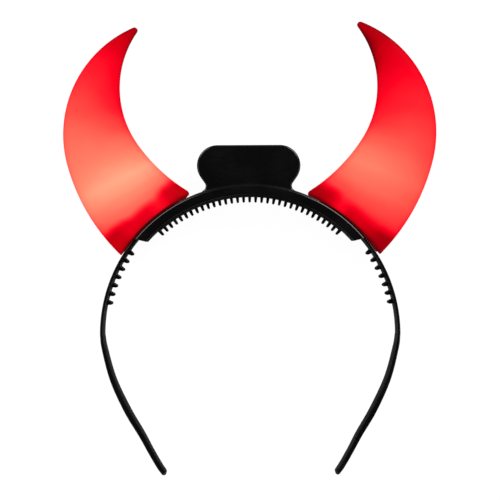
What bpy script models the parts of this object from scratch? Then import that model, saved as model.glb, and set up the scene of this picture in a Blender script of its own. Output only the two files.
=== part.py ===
"""Devil horns headband: a black comb headband with a crown housing and two hollow, lit red horns.

It lies on its back. Metres, +X to the right seen from the front, +Y from the band's tips to the
horns' tips, +Z out of the front. The origin is under the middle of the whole object, on the ground.
Outlines are drawn about the centre of the band's arch, and angles are degrees from its crown.
"""

import math
from typing import NamedTuple

import bmesh
import bpy
from mathutils import Matrix, Vector

MM = 0.001
COLLECTION = "devil_horns_headband"
SHARP_ANGLE = 35.0
FLAT_ANGLE = 0.5
WELD = 0.01 * MM


class Tooth(NamedTuple):
    """A flat comb tooth with a round tip."""

    length: float
    root: float
    tip: float
    depth: float


class LegStation(NamedTuple):
    """One place on the right leg's outer edge, and the strip's section there, all in millimetres."""

    x: float
    y: float
    thick: float
    depth: float


class Arc(NamedTuple):
    """A stretch of a circle, in radians from +X."""

    centre: Vector
    radius: float
    start: float
    end: float

    def length(self):
        return abs(self.end - self.start) * self.radius

    def at(self, share):
        angle = self.start + (self.end - self.start) * share
        return self.centre + self.radius * Vector((math.cos(angle), math.sin(angle)))


# The arch's centre lies half the housing's depth above the ground
ARCH_CENTRE = Vector((0.0, -36.8 * MM, 8.0 * MM))
FIT_GAP = 0.3 * MM

# Head band: a flat springy strip, bent to an arch, with legs that close in below it
BAND_R = 65.15 * MM  # outer face
BAND_THICK = 1.45 * MM
BAND_DEPTH = 11.0 * MM
BAND_ARC = 90.0  # the arch's half angle, where the legs begin
BAND_EDGE = 0.35 * MM
BAND_INNER_R = BAND_R - BAND_THICK
ARC_STEP = 5.0
LEG = (
    LegStation(x=64.4, y=-6.3, thick=1.75, depth=11.0),
    LegStation(x=60.8, y=-20.2, thick=2.1, depth=10.5),
    LegStation(x=54.6, y=-34.0, thick=2.4, depth=10.0),
    LegStation(x=48.4, y=-44.4, thick=2.3, depth=9.3),
    LegStation(x=44.6, y=-51.4, thick=2.2, depth=8.6),
    LegStation(x=40.8, y=-58.0, thick=2.2, depth=8.0),
    LegStation(x=38.8, y=-60.8, thick=2.1, depth=7.6),
)
LEG_STEPS = 3  # from each station to the next
BAND_TIP_ROUND = 1.3 * MM
BAND_TIP_STEPS = (0, 30, 60, 80)  # degrees round the tip
BAND_TIP_DEPTH_LOSS = 0.45  # share of its depth that the strip loses round its tip

# Leg teeth, along the inside of each leg
LEG_TEETH = 7
LEG_TOOTH_FIRST = 55.8
LEG_TOOTH_PITCH = 3.6
LEG_TOOTH = Tooth(length=2.3 * MM, root=2.5 * MM, tip=1.5 * MM, depth=6.0 * MM)

# Tab: an upright plate on the band's crown, a wide shape with round ends on a necked foot
TAB_CENTRE_Y = 72.9 * MM
TAB_END_R = 8.9 * MM
TAB_END_STEPS = 9
TAB_HALF_RUN = 13.6 * MM
TAB_NECK_ANGLE = 35.0
TAB_FOOT_R = 2.2 * MM
TAB_FOOT_STEPS = 4
TAB_DEPTH = 8.0 * MM
TAB_EDGE = 0.8 * MM
TAB_EDGE_STEPS = 2
TAB_SINK_ANGLES = (2.5, 7.5, 12.5, 17.5)  # of the points that run inside the band, under the tab

# Crown housing: a tray below the band, with a lip before and behind it
HOUSING_BOTTOM_R = 60.3 * MM
HOUSING_LIP_R = 64.75 * MM
HOUSING_DEPTH = 16.0 * MM
HOUSING_TOP_HALF = 50.3
HOUSING_BOTTOM_HALF = 48.2
HOUSING_EDGE = 0.45 * MM
HOUSING_WALL = 2.2 * MM
TRAY_R = BAND_INNER_R - FIT_GAP
TRAY_FLOOR = 1.0 * MM
CUT_OVERRUN = 1.0 * MM  # how far a cutter runs past what it cuts

# Comb strip: the cover that closes the tray from below, with the crown's teeth
STRIP_HALF = 41.8
STRIP_BOTTOM_R = 59.7 * MM
STRIP_THICK = 1.5 * MM
COMB_TEETH = 33
COMB_PITCH = 2.575
COMB_TOOTH = Tooth(length=2.45 * MM, root=1.5 * MM, tip=1.1 * MM, depth=5.0 * MM)

TOOTH_SINK = 0.7 * MM  # how far each tooth's root runs into what carries it
TOOTH_TIP_STEPS = (0, 45, 75)  # degrees round half of a tip

# Horn: a crescent between two edges, each of two arcs that run into one another, with a round tip
HORN_BASE_R = 66.5 * MM
HORN_OUTER_CENTRE = Vector((30.2 * MM, 87.5 * MM))
HORN_OUTER_R = 51.3 * MM
HORN_OUTER_LOWER_R = 87.0 * MM
HORN_OUTER_JOIN = -14.5
HORN_INNER_CENTRE = Vector((13.2 * MM, 107.7 * MM))
HORN_INNER_R = 43.05 * MM
HORN_INNER_LOWER_R = 74.3 * MM
HORN_INNER_JOIN = -34.6
HORN_TIP_R = 1.4 * MM
HORN_THICK = 15.0 * MM
HORN_THICK_FALL = 0.8  # how the thickness follows the width: 1 keeps their ratio
HORN_FLATNESS = 2.4  # 2 is an ellipse, more is boxier
HORN_WALL = 1.2 * MM
HORN_CORNER = 1.0 * MM
HORN_CURVED_FOOT = 0.28  # share of the length over which the sections lose the arch's curve
HORN_STEPS = 18
HORN_STEP_POWER = 1.5  # sections lie closer at the base
HORN_HOLLOW = 0.88  # share of the length
HORN_TIP_SHARES = (1.35, 1.7, 1.93)  # on the round tip, from its start at 1 to its middle at 2
RING_POINTS = 24

# Lamp base: a flange on the band, a plug in the horn's mouth and three domed lamps
FLANGE_FROM = 24.6
FLANGE_TO = 53.8
FLANGE_THICK = 0.6 * MM
FLANGE_DEPTH = 14.4 * MM
FLANGE_EDGE = 0.3 * MM
PLUG_SHARE = 0.035  # of the horn's length
PLUG_SINK = 0.35 * MM
LAMP_ANGLES = (32.0, 41.0, 50.0)
LAMP_R = 2.5 * MM
LAMP_TOP_R = 74.5 * MM
LAMP_SEGMENTS = 10

BLACK = (0.012, 0.012, 0.014)
DARK_RED = (0.05, 0.004, 0.006)
LIT_RED = (0.85, 0.03, 0.04)


def on_arch(radius, degrees):
    """A point of the drawing at this radius, this many degrees from the crown towards +X."""
    angle = math.radians(degrees)
    return Vector((radius * math.sin(angle), radius * math.cos(angle)))


def direction(vector):
    return math.atan2(vector.y, vector.x)


def meeting(centre_a, radius_a, centre_b, radius_b):
    """Where two circles cross, on the right of the line from the first centre to the second."""
    line = centre_b - centre_a
    distance = line.length
    along = (radius_a**2 - radius_b**2 + distance**2) / (2 * distance)
    aside = math.sqrt(radius_a**2 - along**2)
    unit = line / distance
    return centre_a + along * unit + aside * Vector((unit.y, -unit.x))


def smooth_rows(rows, steps):
    """Catmull-Rom through the rows, with this many steps from each row to the next."""
    rows = [Vector(row) for row in rows]
    ends = [2 * rows[0] - rows[1], *rows, 2 * rows[-1] - rows[-2]]
    result = []
    for before, start, end, after in zip(ends, ends[1:], ends[2:], ends[3:]):
        for step in range(steps):
            t = step / steps
            result.append(
                0.5 * (2 * start + (end - before) * t)
                + 0.5 * (2 * before - 5 * start + 4 * end - after) * t**2
                + 0.5 * (3 * start - before - 3 * end + after) * t**3
            )
    return [*result, rows[-1]]


def rounded_section():
    """(across, up) from -1 to 1 round a section between an ellipse and a box, from its +across end."""
    section = []
    for i in range(RING_POINTS):
        angle = 2 * math.pi * i / RING_POINTS
        across = math.copysign(abs(math.cos(angle)) ** (2 / HORN_FLATNESS), math.cos(angle))
        up = math.copysign(abs(math.sin(angle)) ** (2 / HORN_FLATNESS), math.sin(angle))
        section.append((across, up))
    return section


def make_material(name, colour, roughness, transmission=0.0):
    material = bpy.data.materials.new(name)
    material.use_nodes = True
    shader = material.node_tree.nodes["Principled BSDF"]
    shader.inputs["Base Color"].default_value = (*colour, 1.0)
    shader.inputs["Roughness"].default_value = roughness
    shader.inputs["Metallic"].default_value = 0.0
    shader.inputs["Transmission Weight"].default_value = transmission
    return material


def make_collection(name):
    collection = bpy.data.collections.new(name)
    bpy.context.scene.collection.children.link(collection)
    return collection


class Workshop:
    """Makes the objects: the parts in one collection, the tools that cut or join them in another."""

    def __init__(self):
        self.parts = make_collection(COLLECTION)
        self.tools = make_collection("tools")
        self.base = bpy.data.objects.new("arch_centre", None)
        self.base.location = ARCH_CENTRE
        self.parts.objects.link(self.base)

    def part(self, name, mesh, material):
        made = self.from_bmesh(name, mesh, self.parts)
        made.data.materials.append(material)
        return made

    def tool(self, name, mesh):
        made = self.from_bmesh(name, mesh, self.tools)
        made.hide_render = True
        made.display_type = "WIRE"
        return made

    def from_bmesh(self, name, mesh, collection):
        """An object of this bmesh, with its origin at the arch's centre."""
        data = bpy.data.meshes.new(name)
        mesh.to_mesh(data)
        mesh.free()
        data.shade_smooth()
        data.set_sharp_from_angle(angle=math.radians(SHARP_ANGLE))
        made = bpy.data.objects.new(name, data)
        made.parent = self.base
        collection.objects.link(made)
        return made


def add_boolean(target, tool, operation):
    modifier = target.modifiers.new(tool.name, "BOOLEAN")
    modifier.object = tool
    modifier.operation = operation


def loft(rings, curved_caps=False):
    """One closed body through rings of points, each with as many points as the next."""
    mesh = bmesh.new()
    loops = [[mesh.verts.new(point) for point in ring] for ring in rings]
    for low, high in zip(loops, loops[1:]):
        for i in range(len(low)):
            j = (i + 1) % len(low)
            mesh.faces.new((low[i], low[j], high[j], high[i]))
    for loop in (loops[0], loops[-1]):
        if curved_caps:
            add_curved_cap(mesh, loop)
        else:
            mesh.faces.new(loop)
    bmesh.ops.recalc_face_normals(mesh, faces=mesh.faces)
    return mesh


def add_curved_cap(mesh, loop):
    """A cap in strips from side to side, for a ring that starts at its end and isn't flat."""
    count = len(loop)
    for i in range(count // 2):
        corners = [loop[i], loop[i + 1], loop[-i - 1]]
        if i:
            corners.append(loop[-i])
        if i == count // 2 - 1:
            corners.remove(loop[-i - 1])
        mesh.faces.new(corners)


def flat_bodies(outlines, depth):
    """Closed flat outlines, extruded to both sides of the mid plane."""
    curve = bpy.data.curves.new("outlines", "CURVE")
    curve.dimensions = "2D"
    curve.fill_mode = "BOTH"
    curve.extrude = depth / 2
    for outline in outlines:
        spline = curve.splines.new("POLY")
        spline.points.add(len(outline) - 1)
        for point, at in zip(spline.points, outline):
            point.co = (at.x, at.y, 0.0, 1.0)
        spline.use_cyclic_u = True
    drawn = bpy.data.objects.new("outlines", curve)
    bpy.context.scene.collection.objects.link(drawn)
    graph = bpy.context.evaluated_depsgraph_get()
    filled = bpy.data.meshes.new_from_object(drawn.evaluated_get(graph))
    mesh = bmesh.new()
    mesh.from_mesh(filled)
    bmesh.ops.remove_doubles(mesh, verts=mesh.verts, dist=WELD)
    flat = math.radians(FLAT_ANGLE)
    bmesh.ops.dissolve_limit(mesh, angle_limit=flat, verts=mesh.verts, edges=mesh.edges)
    bmesh.ops.recalc_face_normals(mesh, faces=mesh.faces)
    bpy.data.objects.remove(drawn)
    bpy.data.curves.remove(curve)
    bpy.data.meshes.remove(filled)
    return mesh


def swept(profile, low_half, high_half):
    """A closed body of a profile of (radius, z) points along the arch, with sloping flat ends.

    The ends are low_half degrees from the crown at the lowest radius and high_half at the highest.
    """
    low_r = min(radius for radius, _ in profile)
    high_r = max(radius for radius, _ in profile)
    whole_steps = math.ceil(low_half / ARC_STEP) - 1
    rings = []
    for side in (-1, 1):
        low_end = on_arch(low_r, side * low_half)
        high_end = on_arch(high_r, side * high_half)
        ring = []
        for radius, z in profile:
            at = low_end.lerp(high_end, (radius - low_r) / (high_r - low_r))
            ring.append(at.to_3d() + Vector((0, 0, z)))
        rings.append(ring)
    for i in range(-whole_steps, whole_steps + 1):
        ring = [on_arch(radius, i * ARC_STEP).to_3d() + Vector((0, 0, z)) for radius, z in profile]
        rings.insert(-1, ring)
    return loft(rings)


def box_profile(low_r, high_r, low_z, high_z, edge=0.0):
    """A rectangle in (radius, z), with its corners cut by edge."""
    if not edge:
        return [(low_r, low_z), (high_r, low_z), (high_r, high_z), (low_r, high_z)]
    return [
        (low_r, low_z + edge),
        (low_r + edge, low_z),
        (high_r - edge, low_z),
        (high_r, low_z + edge),
        (high_r, high_z - edge),
        (high_r - edge, high_z),
        (low_r + edge, high_z),
        (low_r, high_z - edge),
    ]


def band_path():
    """(outer edge point, thickness, depth) from the left tip over the crown to the right tip."""
    arch_steps = round(BAND_ARC / ARC_STEP)
    half = [
        (on_arch(BAND_R, i * ARC_STEP), BAND_THICK, BAND_DEPTH)
        for i in range(arch_steps + 1)
    ]
    end = half[-1]
    rows = [(end[0].x, end[0].y, end[1], end[2])]
    for station in LEG:
        rows.append(tuple(size * MM for size in station))
    for x, y, thick, depth in smooth_rows(rows, LEG_STEPS)[1:]:
        half.append((Vector((x, y)), thick, depth))
    left = [(Vector((-at.x, at.y)), thick, depth) for at, thick, depth in half[:0:-1]]
    return left + half


def band_ring(at, inward, thick, depth, share=1.0):
    """The strip's section, hung inward from a point of its outer edge, and shrunk at a round tip."""
    middle = at + inward * thick / 2
    thin = thick * share
    low = depth * (1 - BAND_TIP_DEPTH_LOSS * (1 - share))
    ring = []
    for across, z in box_profile(-thin / 2, thin / 2, -low / 2, low / 2, BAND_EDGE * share):
        point = middle + inward * across
        ring.append(point.to_3d() + Vector((0, 0, z)))
    return ring


def band_body():
    """The whole strip, whose tips are half rounds that shrink as they go out."""
    path = band_path()
    rings = []
    for i, (at, thick, depth) in enumerate(path):
        before = path[max(i - 1, 0)][0]
        after = path[min(i + 1, len(path) - 1)][0]
        along = (after - before).normalized()
        inward = Vector((along.y, -along.x))
        if 0 < i < len(path) - 1:
            rings.append(band_ring(at, inward, thick, depth))
            continue
        out = along if i else -along
        tip = []
        for degrees in BAND_TIP_STEPS:
            angle = math.radians(degrees)
            place = at + out * BAND_TIP_ROUND * math.sin(angle)
            tip.append(band_ring(place, inward, thick, depth, math.cos(angle)))
        rings.extend(tip if i else reversed(tip))
    return loft(rings)


def tooth_outline(tooth, degrees, root_r):
    """A tooth that points at the arch's centre from a root at this radius."""
    out = on_arch(1.0, degrees)
    aside = Vector((out.y, -out.x))
    half_tip = tooth.tip / 2
    side = [(root_r + TOOTH_SINK, tooth.root / 2)]
    for step in TOOTH_TIP_STEPS:
        angle = math.radians(step)
        radius = root_r - tooth.length + half_tip * (1 - math.sin(angle))
        side.append((radius, half_tip * math.cos(angle)))
    side += [(radius, -width) for radius, width in reversed(side)]
    return [out * radius + aside * width for radius, width in side]


def tab_outline():
    """The tab's outline from its right foot over the top to its left foot."""
    centre = Vector((TAB_HALF_RUN, TAB_CENTRE_Y))
    neck = math.radians(-TAB_NECK_ANGLE)
    side = Vector((math.cos(neck), math.sin(neck)))
    down = Vector((side.y, -side.x))
    # The foot's circle touches the neck's straight line and the band's outer face
    start = centre + side * (TAB_END_R + TAB_FOOT_R)
    reach = BAND_R + TAB_FOOT_R
    along = -start.dot(down) - math.sqrt(start.dot(down) ** 2 - start.length_squared + reach**2)
    foot = start + down * along
    landing = direction(-foot) + 2 * math.pi
    foot_arc = Arc(foot, TAB_FOOT_R, landing, direction(-side))
    end_arc = Arc(centre, TAB_END_R, neck, math.pi / 2)
    outline = [on_arch(BAND_R - BAND_THICK / 2, degrees) for degrees in TAB_SINK_ANGLES]
    outline += [foot_arc.at(i / TAB_FOOT_STEPS) for i in range(TAB_FOOT_STEPS + 1)]
    outline += [end_arc.at(i / TAB_END_STEPS) for i in range(TAB_END_STEPS + 1)]
    return outline + [Vector((-point.x, point.y)) for point in reversed(outline)]


def tab_body():
    """The tab, with its front and back rims rounded where they stand out of the band."""
    mesh = flat_bodies([tab_outline()], TAB_DEPTH)
    rims = []
    for edge in mesh.edges:
        start, end = (vertex.co for vertex in edge.verts)
        outside = min(start.xy.length, end.xy.length) > BAND_R - WELD
        if outside and abs(start.z - end.z) < WELD:
            rims.append(edge)
    bmesh.ops.bevel(
        mesh,
        geom=rims,
        offset=TAB_EDGE,
        segments=TAB_EDGE_STEPS,
        profile=0.5,
        affect="EDGES",
    )
    return mesh


def horn_edges():
    """The arcs of the right horn's outer and inner edge, from the base to the middle of the round tip."""
    join = math.radians(HORN_OUTER_JOIN)
    spoke = Vector((math.cos(join), math.sin(join)))
    outer_low = HORN_OUTER_CENTRE - spoke * (HORN_OUTER_LOWER_R - HORN_OUTER_R)
    inner_join = math.radians(HORN_INNER_JOIN)
    inner_spoke = Vector((math.cos(inner_join), math.sin(inner_join)))
    inner_low = HORN_INNER_CENTRE - inner_spoke * (HORN_INNER_LOWER_R - HORN_INNER_R)
    arch = Vector((0.0, 0.0))
    outer_corner = meeting(arch, HORN_BASE_R, outer_low, HORN_OUTER_LOWER_R)
    inner_corner = meeting(arch, HORN_BASE_R, inner_low, HORN_INNER_LOWER_R)
    tip = meeting(
        HORN_OUTER_CENTRE,
        HORN_OUTER_R - HORN_TIP_R,
        HORN_INNER_CENTRE,
        HORN_INNER_R + HORN_TIP_R,
    )
    outer_touch = direction(tip - HORN_OUTER_CENTRE)
    inner_touch = direction(HORN_INNER_CENTRE - tip) + 2 * math.pi
    peak = (outer_touch + inner_touch) / 2
    outer = (
        Arc(outer_low, HORN_OUTER_LOWER_R, direction(outer_corner - outer_low), join),
        Arc(HORN_OUTER_CENTRE, HORN_OUTER_R, join, outer_touch),
        Arc(tip, HORN_TIP_R, outer_touch, peak),
    )
    inner = (
        Arc(inner_low, HORN_INNER_LOWER_R, direction(inner_corner - inner_low), inner_join),
        Arc(HORN_INNER_CENTRE, HORN_INNER_R, inner_join, direction(tip - HORN_INNER_CENTRE)),
        Arc(tip, HORN_TIP_R, inner_touch, peak),
    )
    return outer, inner


def on_edge(arcs, share):
    """A point of an edge: 0 is its base, 1 the start of the round tip, and 2 the tip's middle."""
    if share > 1:
        return arcs[2].at(share - 1)
    run = share * (arcs[0].length() + arcs[1].length())
    if run < arcs[0].length():
        return arcs[0].at(run / arcs[0].length())
    return arcs[1].at((run - arcs[0].length()) / arcs[1].length())


def horn_ring(side, share, inset=0.0):
    """A section of the horn at this share of its length, drawn in by inset. Side is 1 or -1."""
    outer_arcs, inner_arcs = horn_edges()
    outer = on_edge(outer_arcs, share)
    inner = on_edge(inner_arcs, share)
    base_width = (on_edge(outer_arcs, 0) - on_edge(inner_arcs, 0)).length
    thick = HORN_THICK * ((outer - inner).length / base_width) ** HORN_THICK_FALL
    # The base's inner corner is rounded off
    height = inner.length - HORN_BASE_R
    if height < HORN_CORNER:
        lack = HORN_CORNER - math.sqrt(max(HORN_CORNER**2 - (HORN_CORNER - height) ** 2, 0))
        inner = inner + (outer - inner).normalized() * lack
    chord = inner - outer
    half = chord.length / 2 - inset
    middle = (outer + inner) / 2
    curve = max(1 - share / HORN_CURVED_FOOT, 0) ** 2
    ring = []
    for across, up in rounded_section():
        at = middle + chord.normalized() * half * across
        along_chord = (at - outer).length / chord.length
        reach = outer.length + (inner.length - outer.length) * along_chord
        at = at.lerp(at * (reach / at.length), curve)
        ring.append(Vector((side * at.x, at.y, up * (thick / 2 - inset))))
    return ring


def horn_body(side):
    """A shell with a solid tip: its inner skin stops short of the tip, and the rim joins the two."""
    shares = [(i / HORN_STEPS) ** HORN_STEP_POWER for i in range(HORN_STEPS + 1)]
    hollow = [share for share in shares if share <= HORN_HOLLOW]
    inside = [horn_ring(side, share, HORN_WALL) for share in reversed(hollow)]
    outside = [horn_ring(side, share) for share in [*shares, *HORN_TIP_SHARES]]
    return loft(inside + outside)


def flange_ring(side, radius, inset=0.0):
    """A long round-ended ring on the cylinder of this radius, where the lamp base sits on the band."""
    middle = (FLANGE_FROM + FLANGE_TO) / 2
    half = (FLANGE_TO - FLANGE_FROM) / 2 - math.degrees(inset / radius)
    ring = []
    for across, up in rounded_section():
        at = on_arch(radius, middle - across * half)
        ring.append(Vector((side * at.x, at.y, up * (FLANGE_DEPTH / 2 - inset))))
    return ring


def add_lamp(mesh, side, degrees):
    """A round lamp on a stem: a ball whose lower half is drawn down, flat, into the flange."""
    out = on_arch(1.0, side * degrees).to_3d()
    centre = out * (LAMP_TOP_R - LAMP_R)
    foot_r = BAND_R + FIT_GAP + FLANGE_THICK / 2
    turn = out.to_track_quat("Z", "X").to_matrix().to_4x4()
    ball = bmesh.ops.create_uvsphere(
        mesh,
        u_segments=LAMP_SEGMENTS,
        v_segments=LAMP_SEGMENTS - 2,
        radius=LAMP_R,
        matrix=Matrix.Translation(centre) @ turn,
    )
    for vertex in ball["verts"]:
        if (vertex.co - centre).dot(out) < -WELD:
            vertex.co += out * (foot_r - vertex.co.dot(out))


def make_lamp_base(shop, side, name, material):
    flange_low = BAND_R + FIT_GAP
    flange_top = flange_low + FLANGE_THICK
    flange = [flange_ring(side, flange_low, FLANGE_EDGE), flange_ring(side, flange_top)]
    made = shop.part(name, loft(flange, curved_caps=True), material)
    plug_inset = HORN_WALL + FIT_GAP
    foot = horn_ring(side, 0, plug_inset)
    for point in foot:
        point.xy *= (flange_top - PLUG_SINK) / point.xy.length
    plug = [foot, horn_ring(side, 0, plug_inset), horn_ring(side, PLUG_SHARE, plug_inset)]
    add_boolean(made, shop.tool(name + "_plug", loft(plug, curved_caps=True)), "UNION")
    lamps = bmesh.new()
    for degrees in LAMP_ANGLES:
        add_lamp(lamps, side, degrees)
    add_boolean(made, shop.tool(name + "_lamps", lamps), "UNION")


def make_headband(shop, material):
    band = shop.part("headband", band_body(), material)
    teeth = []
    for side in (-1, 1):
        for i in range(LEG_TEETH):
            degrees = side * (LEG_TOOTH_FIRST + LEG_TOOTH_PITCH * i)
            teeth.append(tooth_outline(LEG_TOOTH, degrees, BAND_INNER_R))
    leg_teeth = shop.tool("leg_teeth", flat_bodies(teeth, LEG_TOOTH.depth))
    add_boolean(band, leg_teeth, "UNION")
    add_boolean(band, shop.tool("tab", tab_body()), "UNION")


def make_housing(shop, material):
    half = HOUSING_DEPTH / 2
    inner_half = half - HOUSING_WALL
    block = box_profile(HOUSING_BOTTOM_R, HOUSING_LIP_R, -half, half, HOUSING_EDGE)
    body = swept(block, HOUSING_BOTTOM_HALF, HOUSING_TOP_HALF)
    housing = shop.part("crown_housing", body, material)
    slot = box_profile(TRAY_R, HOUSING_LIP_R + CUT_OVERRUN, -inner_half, inner_half)
    slot_half = HOUSING_TOP_HALF + math.degrees(CUT_OVERRUN / TRAY_R)
    band_slot = shop.tool("band_slot", swept(slot, slot_half, slot_half))
    cavity = box_profile(
        HOUSING_BOTTOM_R - CUT_OVERRUN, TRAY_R - TRAY_FLOOR, -inner_half, inner_half
    )
    cavity_half = STRIP_HALF + math.degrees(FIT_GAP / STRIP_BOTTOM_R)
    strip_cavity = shop.tool("strip_cavity", swept(cavity, cavity_half, cavity_half))
    add_boolean(housing, band_slot, "DIFFERENCE")
    add_boolean(housing, strip_cavity, "DIFFERENCE")


def make_comb_strip(shop, material):
    half = HOUSING_DEPTH / 2 - HOUSING_WALL - FIT_GAP
    strip = box_profile(STRIP_BOTTOM_R, STRIP_BOTTOM_R + STRIP_THICK, -half, half)
    made = shop.part("comb_strip", swept(strip, STRIP_HALF, STRIP_HALF), material)
    teeth = []
    for i in range(COMB_TEETH):
        degrees = (i - (COMB_TEETH - 1) / 2) * COMB_PITCH
        teeth.append(tooth_outline(COMB_TOOTH, degrees, STRIP_BOTTOM_R))
    comb_teeth = shop.tool("comb_teeth", flat_bodies(teeth, COMB_TOOTH.depth))
    add_boolean(made, comb_teeth, "UNION")


def main():
    for old in list(bpy.data.objects):
        bpy.data.objects.remove(old, do_unlink=True)
    shop = Workshop()
    make_headband(shop, make_material("band_black", BLACK, 0.32))
    make_housing(shop, make_material("housing_black", BLACK, 0.28))
    make_comb_strip(shop, make_material("comb_black", BLACK, 0.36))
    lamp_dark = make_material("lamp_dark", DARK_RED, 0.4)
    horn_red = make_material("horn_red", LIT_RED, 0.35, transmission=0.4)
    for side, end in ((-1, "left"), (1, "right")):
        shop.part("horn_" + end, horn_body(side), horn_red)
        make_lamp_base(shop, side, "lamp_base_" + end, lamp_dark)


main()
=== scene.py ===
"""Looks of the devil horns headband: fine meshes, finishes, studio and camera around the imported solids.

The headband lies on its back, front up, as in the photo. Lengths are in metres, written as
millimetres times MM. Angles are degrees from the crown of the band's arch, towards +X, seen from
the front, and "share" is a place along a horn's length, from 0 at its base to 1 at its tip.
"""

from __future__ import annotations

import logging
import math
from collections.abc import Sequence
from dataclasses import dataclass
from enum import Enum

import bmesh
import bpy
from mathutils import Matrix, Vector

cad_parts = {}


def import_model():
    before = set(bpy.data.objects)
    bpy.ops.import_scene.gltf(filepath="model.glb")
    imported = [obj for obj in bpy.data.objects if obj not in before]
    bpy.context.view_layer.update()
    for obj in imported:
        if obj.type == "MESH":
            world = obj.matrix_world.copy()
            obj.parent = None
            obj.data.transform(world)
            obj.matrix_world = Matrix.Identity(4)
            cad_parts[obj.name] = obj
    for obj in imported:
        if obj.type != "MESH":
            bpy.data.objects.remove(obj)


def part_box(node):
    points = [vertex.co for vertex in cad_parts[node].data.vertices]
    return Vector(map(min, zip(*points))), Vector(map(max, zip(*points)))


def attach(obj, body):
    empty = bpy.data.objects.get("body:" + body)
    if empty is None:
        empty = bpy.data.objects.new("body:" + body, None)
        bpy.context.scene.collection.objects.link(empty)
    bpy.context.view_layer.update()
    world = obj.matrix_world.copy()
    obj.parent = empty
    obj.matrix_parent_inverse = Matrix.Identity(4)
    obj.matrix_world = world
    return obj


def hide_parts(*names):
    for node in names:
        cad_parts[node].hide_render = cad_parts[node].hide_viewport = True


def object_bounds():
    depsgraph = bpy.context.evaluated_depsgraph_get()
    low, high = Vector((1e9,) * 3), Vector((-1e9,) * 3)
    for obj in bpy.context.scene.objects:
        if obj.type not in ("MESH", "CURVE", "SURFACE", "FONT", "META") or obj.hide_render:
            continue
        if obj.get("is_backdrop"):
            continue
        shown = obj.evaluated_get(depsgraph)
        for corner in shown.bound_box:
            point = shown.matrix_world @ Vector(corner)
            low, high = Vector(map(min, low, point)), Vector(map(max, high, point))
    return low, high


MM = 0.001
BODY = "root"
SHARP_ANGLE = 42.0  # edges that turn by more than this are shaded sharp
ROUNDED_ANGLE = 60.0  # and those that turn by more than this are rounded where a piece asks for it
LOG = logging.getLogger("headband")
WHITE = (1.0, 1.0, 1.0)

Ring = list[Vector]
Colour = tuple[float, float, float]
Given = float | Sequence[float] | bpy.types.NodeSocket


class Side(Enum):
    """Left and right as seen from the front, with the sign of X there."""

    LEFT = -1
    RIGHT = 1

    @property
    def word(self) -> str:
        """The side's name in lower case, as the nodes have it."""
        return self.name.lower()


def smooth_step(low: float, high: float, value: float) -> float:
    """A smooth rise from 0 at low to 1 at high."""
    t = min(max((value - low) / (high - low), 0.0), 1.0)
    return t * t * (3.0 - 2.0 * t)


def mixed(low: float, high: float, share: float) -> float:
    """The value at this share of the way from low to high."""
    return low + (high - low) * share


def between(rows: Sequence[tuple[float, float, float]], place: float) -> tuple[float, float]:
    """Reads two values off a short table.

    Args:
        rows: Rows of a place and its two values, in order of place.
        place: Where to read.

    Returns:
        Both values on a smooth curve between the rows on either side.
    """
    place = min(max(place, rows[0][0]), rows[-1][0])
    i = 0
    while place > rows[i + 1][0]:
        i += 1
    straight = (place - rows[i][0]) / (rows[i + 1][0] - rows[i][0])
    t = mixed(straight, smooth_step(0.0, 1.0, straight), 0.4)
    return mixed(rows[i][1], rows[i + 1][1], t), mixed(rows[i][2], rows[i + 1][2], t)


def linear(display: tuple[int, int, int]) -> Colour:
    """Turns a display colour of 0 to 255 into the linear values that shaders take.

    Args:
        display: Red, green and blue as a screen shows them.

    Returns:
        The same colour in linear values from 0 to 1.
    """
    result = []
    for part in display:
        value = part / 255
        result.append(value / 12.92 if value <= 0.04045 else ((value + 0.055) / 1.055) ** 2.4)
    return (result[0], result[1], result[2])


def heading(vector: Vector) -> float:
    """The angle of a flat vector from +X, in radians."""
    return math.atan2(vector.y, vector.x)


def spoke(angle: float) -> Vector:
    """The flat unit vector at this angle from +X, in radians."""
    return Vector((math.cos(angle), math.sin(angle)))


@dataclass(frozen=True)
class Arc:
    """A stretch of a circle in the drawing's plane, between two angles in radians."""

    centre: Vector
    radius: float
    start: float
    end: float

    def length(self) -> float:
        """The length along the arc."""
        return abs(self.end - self.start) * self.radius

    def at(self, share: float) -> Vector:
        """The point at this share of the way from the arc's start to its end."""
        return self.centre + self.radius * spoke(self.start + (self.end - self.start) * share)

    def points(self, steps: int) -> list[Vector]:
        """Evenly spaced points from the start to the end, both included."""
        return [self.at(i / steps) for i in range(steps + 1)]


def circles_meet(centre_a: Vector, radius_a: float, centre_b: Vector, radius_b: float) -> Vector:
    """Finds where two circles cross.

    Args:
        centre_a: Centre of the first circle.
        radius_a: Its radius.
        centre_b: Centre of the second circle.
        radius_b: Its radius.

    Returns:
        The crossing on the right of the line from the first centre to the second.
    """
    line = centre_b - centre_a
    distance = line.length
    along = (radius_a**2 - radius_b**2 + distance**2) / (2 * distance)
    aside = math.sqrt(radius_a**2 - along**2)
    unit = line / distance
    return centre_a + along * unit + aside * Vector((unit.y, -unit.x))


@dataclass(frozen=True)
class Corner:
    """A corner of a flat outline, and the radius that rounds it."""

    x: float
    y: float
    radius: float = 0.0


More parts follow.
